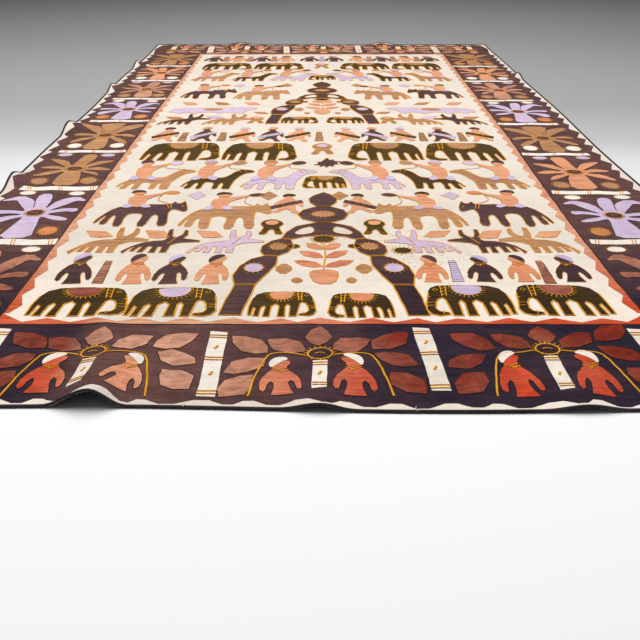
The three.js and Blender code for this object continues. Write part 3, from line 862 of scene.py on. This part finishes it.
def zigzag(start, end, pitch, root, tip, skew=0.5, uneven=0.1):
    teeth = round((end - start) / pitch)
    step = (end - start) / teeth
    points = []
    for k in range(teeth):
        drift = 2 * uneven * noise.noise(Vector((1.7 * k, root / 50, 2.2))) if k else 0
        reach = 1 + 2 * uneven * noise.noise(Vector((1.3 * k, tip / 50, 5.2)))
        points += [(start + (k + drift) * step, root),
                   (start + (k + skew + drift) * step, root + (tip - root) * reach)]
    return points + [(end, root)]


def quarterTurned(points, quarters):
    c, s = ((1, 0), (0, 1), (-1, 0), (0, -1))[quarters]
    return [(px * c - py * s, px * s + py * c) for px, py in points]


rightBow = ((-1890, -1600, -1200, -700, -200), (6, 13, 17, 10, 0))


def bowed(points, quarters):
    # the right border is wider along its near half
    return [(px, py + np.interp(px, *rightBow)) if quarters == 1 else (px, py) for px, py in points]


def serration(pitch, depth, margin, quarters, reach, half, outTo, skew, rounding):
    # the teeth follow the edge as it strays
    teeth = zigzag(-reach, reach, pitch, margin + depth - outTo, margin - outTo, skew, 0.2)
    return [(p.x, p.y + edgeWander(p.x, half, edges[quarters])) for p in rounded(teeth, False, rounding)]


def darkBorders(b):
    reach = halfW - b["toothMargin"] - b["toothDepth"]
    middle = halfL - cloth["endBorder"] / 2
    for quarters in range(4):
        if quarters % 2:
            outline = [*serration(b["toothPitch"], b["toothDepth"], b["toothMargin"], quarters, fieldL, halfL,
                                  halfW, 0.66, 0),
                       *bowed([(along, -fieldW) for along in np.linspace(fieldL, -fieldL, 19)], quarters)]
        else:
            right = halfW - b["toothMargin"] - edgeWander(-middle, halfL, edges[(quarters + 1) % 4])
            left = halfW - b["toothMargin"] - edgeWander(middle, halfL, edges[(quarters + 3) % 4])
            outline = [*serration(b["endPitch"], b["endDepth"], b["endMargin"], quarters, reach, halfW,
                                  halfL, 0.5, 1),
                       (right, -middle), (reach, -fieldL), (-reach, -fieldL), (-left, -middle)]
        sew("aubergine", quarterTurned(outline, quarters), rounding=0)


def redStrips(b):
    inner = fieldW - b["cornerPatch"]
    teeth = zigzag(-inner, inner, b["toothPitch"], b["endRoot"] - fieldL, b["endTip"] - fieldL)
    end = [(-fieldW, -fieldL), (fieldW, -fieldL), (fieldW, b["cornerPatch"] - fieldL), *teeth[::-1],
           (-fieldW, b["cornerPatch"] - fieldL)]
    reach = fieldL - b["cornerPatch"] - 1
    sideTeeth = zigzag(-reach, reach, b["innerPitch"], b["innerRoot"] - fieldW, b["innerTip"] - fieldW, 0.56)
    base = [(along, -fieldW) for along in np.linspace(-reach, reach, 19)]
    for quarters in range(4):
        points, edge = (bowed([*base, *sideTeeth[::-1]], quarters), 19) if quarters % 2 else (end, 2)
        strip = quarterTurned(points, quarters)
        sew("strip", strip, rounding=0)
        # dark thread along the join with the dark border: painted shadow at the fold there
        stitchAndShadowLines.append(cord(handCut(strip[:edge], False, 0), 4.5, 0))


def post(x, y, width, height, lean, turn):
    at = setDown(x, y, 1, 1, turn)
    half = width / 2
    sew("white", at([(-half, 2), (half, 0), (half - lean, height - 4), (-half - lean, height)]), 1,
        rounding=0)
    for rung in (0.06, 0.55, 0.91):
        for offset in (-6, 5):
            up = height * rung + offset
            drift = -lean * rung
            couch(at([(-half + drift, up), (half + drift, up)]), 5, 1.9)
    for dot in (0.32, 0.73):
        spot = -lean * dot
        couch(at([(spot - 2, height * dot - 7), (spot + 3, height * dot + 7)]), 7, 1.9)


sprayLeaves = [  # on the right of a flower: foot from the cloth's edge, length, width, turn
    ((34, 256), 106, 70, 33), ((118, 250), 120, 72, 38), ((128, 224), 112, 64, -32),
    ((152, 152), 112, 72, -50),
]
# Along the end border: figures are x, base, width, height and slant, nudges move the leaves, and
# crown is the top leaf's length and its own nudge
sprays = [
    {"x": -524, "lift": -6, "figures": {-1: (82, 78, 0.83, 0.94, 0), 1: (85, 80, 0.72, 0.9, -0.13)},
     "nudges": {-1: [(0, 4), (0, 21), (0, 20), (0, 22)], 1: [(0, 13), (11, 25), (14, 32), (16, 29)]},
     "crown": (97, 0, -8)},
    {"x": -10, "lift": -8, "figures": {-1: (80, 68, 0.79, 0.88, -0.1), 1: (73, 66, 0.79, 0.99, 0)},
     "nudges": {-1: [(0, 0), (0, 2), (-7, 3), (-9, 4)], 1: [(-6, 6), (0, 18), (-6, 30), (0, 15)]},
     "crown": (100, 0, 0)},
    {"x": 510, "lift": 16, "figures": {-1: (88, 63, 0.77, 1.06, -0.1), 1: (70, 63, 0.78, 1.06, -0.06)},
     "nudges": {-1: [(0, 0), (0, 0), (16, 0), (12, -4)], 1: [(0, 0), (0, 34), (-12, 34), (0, 15)]},
     "crown": (84, 6, 0)},
]
cornerSpray = {"lift": 6, "figures": {-1: (80, 66, 0.79, 0.94, 0), 1: (80, 66, 0.79, 0.94, 0)},
               "nudges": {-1: [(0, 10)] * 4, 1: [(0, 10)] * 4}, "crown": (94, 0, 0)}


def spray(x, row, quarters, sides=(-1, 1)):
    # a flower on its stem, cords over a pair of attendants, and leaves round them
    turned, sign = (180, -1) if quarters else (0, 1)
    lift = row["lift"]
    at = setDown(sign * x, sign * -halfL, 1, 1, turned)
    sew("ink", at(oval(0, 246 + lift, 56, 50, 16)), 1, trim=5)
    rays(*at([(0, 246 + lift)])[0], 58, 52, 9, 8, 1, 0, 180, yarn=3)
    rays(*at([(0, 246 + lift)])[0], 58, 52, 5, 5, 1, 180, 360, yarn=2.6)
    couch(at([(-12, 246 + lift), (0, 250 + lift), (11, 245 + lift)]), 4, 1.9)
    sew("white", at([(-18, 84), (14, 90), (16, 216 + lift), (-16, 215 + lift)]), 1, rounding=0)
    for up in (100, 110, 196 + lift, 206 + lift):
        couch(at([(-16, up), (16, up)]), 4.6, 1.9)
    couch(at([(-3, 146), (2, 160)]), 6.5, 1.9)
    length, aside, down = row["crown"]
    leaf(*at([(aside - 4, 278 + lift / 2 + down)])[0], length, 68, turned + 90, kind=1, shadowOutline=1.8)
    for s in sides:
        couch(at([(s * 32, 240 + lift), (s * 68, 245), (s * 102, 244), (s * 122, 230), (s * 138, 160),
                  (s * 152, 66)]), 5.6, 1, rounding=1)
        figureX, base, across, up, slant = row["figures"][s]
        attendant(*at([(s * figureX, base)])[0], sign * -s, "robe", "white", across, sign * up, 1, None, 1.8,
                  slant)
        for k, ((footX, footY), length, width, turn) in enumerate(sprayLeaves):
            outward, rise = row["nudges"][s][k]
            vary = noise.noise(Vector((x / 90, 2.7 * k, 3.1 * s)))
            turn += 9 * vary
            foot = at([(s * (footX + outward), footY + 0.8 * lift + rise)])[0]
            leaf(*foot, length * (1 + 0.06 * vary), width * (1 - 0.16 * vary),
                 turned + (turn if s > 0 else 180 - turn), kind=k + (s > 0) + round(x / border["pitch"]),
                 shadowOutline=1.8)


def endBorder(quarters):
    turned, sign = (180, -1) if quarters else (0, 1)
    for step, drift, up, lean in ((-1.5, -10, 14, 2), (-0.5, 4, -4, 2), (0.5, -8, 16, 14), (1.5, 0, 10, 14)):
        post(sign * (step * border["pitch"] + drift), sign * (border["postFromEdge"] - halfL + up),
             40, 280, lean, turned)
    for row in sprays:
        spray(row["x"], row, quarters)
    spray(-2 * border["pitch"], cornerSpray, quarters, (1,))
    spray(2 * border["pitch"], cornerSpray, quarters, (-1,))


# Palm-like flowers of the side panels: fronds from the lower right round to the trunk, each with
# the points of its middle line and its widths there
flowers = {
    "palm": [
        ([(38, -26), (78, -42), (110, -70), (118, -108)], [22, 30, 40, 20]),
        ([(42, 6), (88, 16), (140, 10)], [24, 24, 32]),
        ([(34, 40), (60, 108), (98, 150), (148, 118)], [28, 44, 38, 10]),
        ([(2, 54), (8, 116), (18, 190)], [42, 42, 32]),
        ([(-36, 40), (-62, 106), (-98, 146), (-136, 120)], [28, 44, 36, 10]),
        ([(-44, 10), (-88, 32), (-132, 28)], [24, 24, 30]),
        ([(-40, -22), (-82, -44), (-122, -58)], [22, 28, 14]),
        ([(0, -40), (0, -120), (-2, -212)], [56, 60, 80]),
    ],
    "frond": [
        ([(38, -24), (82, -48), (128, -100)], [24, 36, 14]),
        ([(44, 6), (88, 26), (134, 16)], [24, 36, 14]),
        ([(34, 38), (72, 98), (126, 136)], [26, 38, 12]),
        ([(-4, 52), (-14, 120), (-20, 204)], [50, 46, 44]),
        ([(-38, 36), (-80, 92), (-128, 112)], [26, 38, 14]),
        ([(-44, 2), (-92, 6), (-140, -12)], [24, 36, 14]),
        ([(-36, -28), (-78, -54), (-110, -96)], [20, 26, 10]),
        ([(0, -40), (-6, -90), (-12, -206)], [60, 62, 74]),
    ],
    "crown": [
        ([(38, -24), (84, -60), (122, -112)], [22, 34, 16]),
        ([(44, 4), (90, 20), (134, 4)], [22, 32, 16]),
        ([(26, 44), (74, 124), (136, 168)], [34, 48, 30]),
        ([(0, 50), (0, 120), (0, 200)], [60, 66, 96]),
        ([(-26, 44), (-74, 124), (-132, 172)], [34, 48, 30]),
        ([(-44, 4), (-92, 8), (-136, -22)], [22, 34, 16]),
        ([(-36, -26), (-82, -78), (-118, -124)], [22, 34, 16]),
        ([(0, -42), (2, -110), (6, -212)], [56, 60, 76]),
    ],
}
panels = [  # from the near end: flower, its cotton, the ovals at its foot and under its upper bar
    ("palm", "leaf", "leaf", "white"),
    ("palm", "lilac", "orange", "white"),
    ("frond", ("tan", "peach"), "tan", "lilac"),
    ("crown", "tan", "white", None),
    ("palm", "lilac", "orange", "white"),
    ("frond", "leaf", "tan", "lilac"),
    ("palm", "peach", "white", "orange"),
    ("crown", "tan", "orange", None),
]
barPlaces = {-1: (-1365, -866, -400, 100, 560, 1020, 1460), 1: (-1365, -912, -440, 45, 520, 1000, 1450)}
panelHeight = 490  # that the flowers are drawn for


def blade(path, widths):
    # both sides of a tapered stroke, from one foot round the tip to the other
    right, left = [], []
    for k, ((px, py), width) in enumerate(zip(path, widths)):
        ax, ay = path[max(k - 1, 0)]
        bx, by = path[min(k + 1, len(path) - 1)]
        size = math.hypot(bx - ax, by - ay)
        share = 0.5 if k == 0 else 0.66
        nx, ny = (ay - by) / size * width * share, (bx - ax) / size * width * share
        right.append((px - nx, py - ny))
        left.append((px + nx, py + ny))
    return right + left[::-1]


def sidePanel(side, start, end, panel):
    kind, cotton, feet, heads = panel
    if isinstance(cotton, tuple):
        cotton = cotton[side > 0]
    at = setDown(side * (halfW - 206), (start + end) / 2 - 4, side, (end - start) / panelHeight)
    sew(cotton, at([p for frond in flowers[kind] for p in blade(*frond)]), 1, shadowOutline=1.8)
    heart, *spots = at([(0, 2), (-88, -152), (88, -158), (-84, 195), (88, 198)])
    rayedOval("ink", *heart, 60, 54, 14, 16, 8, 2, 3.4)
    couch([(heart[0] - 11, heart[1] - 2), (heart[0] + 11, heart[1] + 2)], 3, 2.9)
    for spot in spots[:2]:
        rayedOval(feet, *spot, 60, 68, 12, 20, 8, 1, yarn=2.2)
    for spot in spots[2:] if heads else ():
        rayedOval(heads, *spot, 56, 40, 12, 16, 7, 1, yarn=2)


def sideBar(side, y):
    at = setDown(side * (halfW - 213), y, side, 1.4 if side < 0 and y < -800 else 1.1)
    sew("white", at([(-138, -15), (-60, -19), (20, -13), (88, -20), (138, -13), (132, 15), (86, 10),
                     (20, 19), (-60, 12), (-134, 17)]), 1, rounding=0)
    for offset in (-118, -6, 106):
        for gap in (-4, 5):
            couch(at([(offset + gap - 4, -15), (offset + gap + 4, 14)]), 3.2, 1.9)


def sideBorder(side):
    places = barPlaces[side]
    for start, end, panel in zip((-fieldL, *places), (*places, fieldL + 30), panels):
        sidePanel(side, start, end, panel)
    for place in places:
        sideBar(side, place)


darkBorders(border)
redStrips(border)
nearRows(firstRow)
farRows(secondRow)
for quarters in (0, 2):
    endBorder(quarters)
for side in (-1, 1):
    sideBorder(side)
print("patches cut:", sum(len(rows) for rows in patches.values()), "and yarns:", len(yarns))


# Meshes
sharpAngle = 0.7  # radians, above which an edge is drawn sharp
clothInset, bindingInset = 2.4, 4.8


def layerZ(level):
    return cloth["thick"] + 0.12 + cloth["layerStep"] * level


def cutOnGrid(bm, shape):
    # splits a flat patch along the shared grid, so that it can follow the folds
    xs, ys = [p.x for p in shape], [p.y for p in shape]
    for lines, axis, values in ((gridX, 0, xs), (gridY, 1, ys)):
        for line in lines[(lines > min(values) + 0.01) & (lines < max(values) - 0.01)]:
            place, direction = Vector((0, 0, 0)), Vector((0, 0, 0))
            place[axis], direction[axis] = line, 1
            bmesh.ops.bisect_plane(bm, geom=bm.verts[:] + bm.edges[:] + bm.faces[:], dist=0.001,
                                   plane_co=place, plane_no=direction)


def thicken(bm, thick):
    top = bmesh.ops.extrude_face_region(bm, geom=bm.faces[:], use_keep_orig=True)
    raised = [v for v in top["geom"] if isinstance(v, bmesh.types.BMVert)]
    bmesh.ops.translate(bm, vec=(0, 0, thick), verts=raised)
    bmesh.ops.recalc_face_normals(bm, faces=bm.faces[:])
    for face in bm.faces:
        face.smooth = True
    for edge in bm.edges:
        if len(edge.link_faces) == 2 and edge.calc_face_angle() > sharpAngle:
            edge.smooth = False


def patchMesh(rows):
    joined = bmesh.new()
    scrap = bpy.data.meshes.new("scrap")
    for row in rows:
        bm = bmesh.new()
        z = layerZ(row["level"])
        bm.faces.new([bm.verts.new((p.x, p.y, z)) for p in row["shape"]])
        cutOnGrid(bm, row["shape"])
        thicken(bm, cloth["patchThick"])
        bm.to_mesh(scrap)
        bm.free()
        joined.from_mesh(scrap)
    mesh = bpy.data.meshes.new("patches")
    joined.to_mesh(mesh)
    joined.free()
    bpy.data.meshes.remove(scrap)
    layOnFolds(mesh)
    return mesh


def insetEdges(x, y, inset):
    # moves the outermost points in to the straying edges, and those just inside by less
    newX, newY = x.copy(), y.copy()
    sides = ((x, y + halfL, halfW), (y, halfW - x, halfL), (-x, halfL - y, halfW), (-y, x + halfW, halfL))
    for edge, (along, inward, half), (turnX, turnY) in zip(edges, sides, ((0, 1), (-1, 0), (0, -1), (1, 0))):
        move = (inset + edgeWander(along, half, edge)) * np.clip(1 - inward / 90, 0, 1)
        newX += turnX * move
        newY += turnY * move
    return newX, newY


def groundMesh():
    columns, rows = len(gridX) - 1, len(gridY) - 1
    bm = bmesh.new()
    bmesh.ops.create_grid(bm, x_segments=columns, y_segments=rows, size=0.5)
    co = np.array([v.co for v in bm.verts])
    x = gridX[np.rint((co[:, 0] + 0.5) * columns).astype(int)]
    y = gridY[np.rint((co[:, 1] + 0.5) * rows).astype(int)]
    x, y = insetEdges(x, y, clothInset)
    for v, vx, vy in zip(bm.verts, x, y):
        v.co = (vx, vy, 0)
    thicken(bm, cloth["thick"])
    mesh = bpy.data.meshes.new("ground")
    bm.to_mesh(mesh)
    bm.free()
    layOnFolds(mesh)
    return mesh


def tubeMesh(rows, flatten, ring=0, lift=None):
    # yarn and tape: round curves made mesh, pressed flat and laid at their level
    curve = bpy.data.curves.new("yarns", "CURVE")
    curve.dimensions = "3D"
    curve.twist_mode = "Z_UP"
    curve.fill_mode = "FULL"
    curve.bevel_depth = 0.5
    curve.bevel_resolution = ring
    curve.use_fill_caps = True
    for row in rows:
        spline = curve.splines.new("POLY")
        spline.points.add(len(row["line"]) - 1)
        z = 100 * row["level"]  # parts the levels until they are pressed
        spline.points.foreach_set("co", [v for p in row["line"] for v in (p.x, p.y, z, 1)])
        widths = row["width"] if isinstance(row["width"], list) else [row["width"]] * len(row["line"])
        spline.points.foreach_set("radius", widths)
        spline.use_cyclic_u = row["closed"]
        spline.use_smooth = True
    obj = bpy.data.objects.new("yarns", curve)
    scene.collection.objects.link(obj)
    bpy.context.view_layer.update()
    mesh = bpy.data.meshes.new_from_object(obj.evaluated_get(bpy.context.evaluated_depsgraph_get()))
    bpy.data.objects.remove(obj)
    bpy.data.curves.remove(curve)
    co = np.empty(len(mesh.vertices) * 3)
    mesh.vertices.foreach_get("co", co)
    co = co.reshape(-1, 3)
    level = np.rint(co[:, 2] / 10) / 10
    height = (co[:, 2] - 100 * level) * flatten
    base = layerZ(level) + cloth["patchThick"] if lift is None else lift
    co[:, 2] = base + height
    mesh.vertices.foreach_set("co", co.ravel())
    layOnFolds(mesh)
    return mesh


def edgeLine(inset):
    xs, ys = np.arange(-halfW, halfW, 12.0), np.arange(-halfL, halfL, 12.0)
    corners = [(xs, np.full_like(xs, -halfL)), (np.full_like(ys, halfW), ys),
               (-xs, np.full_like(xs, halfL)), (np.full_like(ys, -halfW), -ys)]
    x = np.concatenate([c[0] for c in corners])
    y = np.concatenate([c[1] for c in corners])
    x, y = insetEdges(x, y, inset)
    return [Vector(p) for p in zip(x, y)]


ground = addPiece("groundCloth", groundMesh(), materials["cream"], ["ground_cloth"])
# faces that look down take the painted shade of the underside
ground.data.materials.append(shadedUnderside)
for face in ground.data.polygons:
    if face.normal.z < -0.5:
        face.material_index = 1
print("ground laid")

sewn = [
    ("creamPanes", "cream", "cream_cotton", []),
    ("creamPosts", "white", "cream_cotton", nodesNamed("post_")),
    ("darkBorders", "aubergine", "aubergine_cotton", nodesNamed("border_")),
    ("darkPatches", "ink", "aubergine_cotton",
     nodesNamed("arch_") + nodesNamed("panther_", (3, 4, 7, 8))),
    ("olivePatches", "olive", "olive_cotton",
     nodesNamed("elephant_") + nodesNamed("horse_", (3, 4, 9, 10))),
    ("lilacPatches", "lilac", "lilac_cotton", nodesNamed("horse_", (1, 2, 7, 8))),
    ("tanPatches", "tan", "tan_cotton",
     nodesNamed("horse_", (5, 6, 11, 12)) + nodesNamed("panther_", (1, 2, 5, 6))),
    ("peachPatches", "peach", "tan_cotton", []),
    ("leafPatches", "leaf", "red_cotton", []),
    ("robePatches", "robe", "red_cotton", []),
    ("orangeOvals", "orange", "tan_cotton", []),
    ("redStrips", "strip", "red_cotton", nodesNamed("red_strip_")),
]
onCloth = [addPiece(name, patchMesh(patches[key]), materials[key], nodes)
           for name, key, slot, nodes in sewn]
print("patches sewn")

onCloth.append(addPiece("goldYarn", tubeMesh(yarns, 0.55), goldYarn))
# dark thread: painted shadow lines, and the lines across the pillars
onCloth.append(addPiece("stitchAndShadowThread", tubeMesh(stitchAndShadowLines, 0.5), stitchAndShadowThread))
rim = edgeLine(bindingInset)  # folded wider along the near edge than along the others
edging = [cord(rim, [9.6 if p.y < 60 - halfL else 7.4 for p in rim], 0, True)]
ends = [cord([Vector((x + dx, edgeWander(x, halfW, edges[0]) - halfL + dy)) for dx, dy in path], 1.8, 2)
        for x, path in ((-288, ((0, 16), (2, 9), (-1, 2))), (184, ((0, 19), (-2, 10), (1, 2))))]
onCloth.append(addPiece("threadEnds", tubeMesh(ends, 0.6, lift=6.4), looseThread))
onCloth.append(addPiece("binding", tubeMesh(edging, 0.62, 2, lift=2.9), bindingTape,
                        nodesNamed("binding_")))
print("yarn couched")


# Studio
def floorMaterial():
    # white paper sweep, with painted shade: darker far from the light
    material, tree, coords = newMaterial("matt white backdrop paper, painted shade far back")
    split = addNode(tree, "SeparateXYZ", {0: coords})
    ramp = addNode(tree, "ValToRGB", {0: ranged(tree, split.outputs[1], -2.5, 2.5)})
    rampStops(ramp, [(0.04, "#fcfcfc"), (0.2, "#f2f2f2"), (0.345, "#dfdfdf"), (0.4, "#d3d3d3"),
                     (0.455, "#b9b9b9"), (0.525, "#aaaaaa"), (0.58, "#a0a0a0"), (1, "#929292")])
    surface(tree, ramp.outputs[0], 0.95, 0.1)
    return material


def addFloor():
    bm = bmesh.new()
    bmesh.ops.create_grid(bm, x_segments=1, y_segments=1, size=14)
    mesh = bpy.data.meshes.new("floor")
    bm.to_mesh(mesh)
    bm.free()
    obj = bpy.data.objects.new("floor", mesh)
    mesh.materials.append(floorMaterial())
    scene.collection.objects.link(obj)


light = {"name": "overhead", "place": (-0.3, 0.3, 4.6), "aim": (0, -0.5, 0), "size": (6.5, 6), "power": 408}


def addLight(row):
    data = bpy.data.lights.new(row["name"], "AREA")
    data.shape = "RECTANGLE"
    data.size, data.size_y = row["size"]
    data.energy = row["power"]
    obj = bpy.data.objects.new(row["name"], data)
    obj.location = row["place"]
    aim = Vector(row["aim"]) - Vector(row["place"])
    obj.rotation_euler = aim.to_track_quat("-Z", "Y").to_euler()
    scene.collection.objects.link(obj)


addFloor()
addLight(light)
world = bpy.data.worlds.new("studio")
world.use_nodes = True
world.node_tree.nodes["Background"].inputs[0].default_value = (1, 1, 1, 1)
world.node_tree.nodes["Background"].inputs[1].default_value = 0.11
scene.world = world
scene.view_settings.view_transform = "Standard"
print("studio lit")
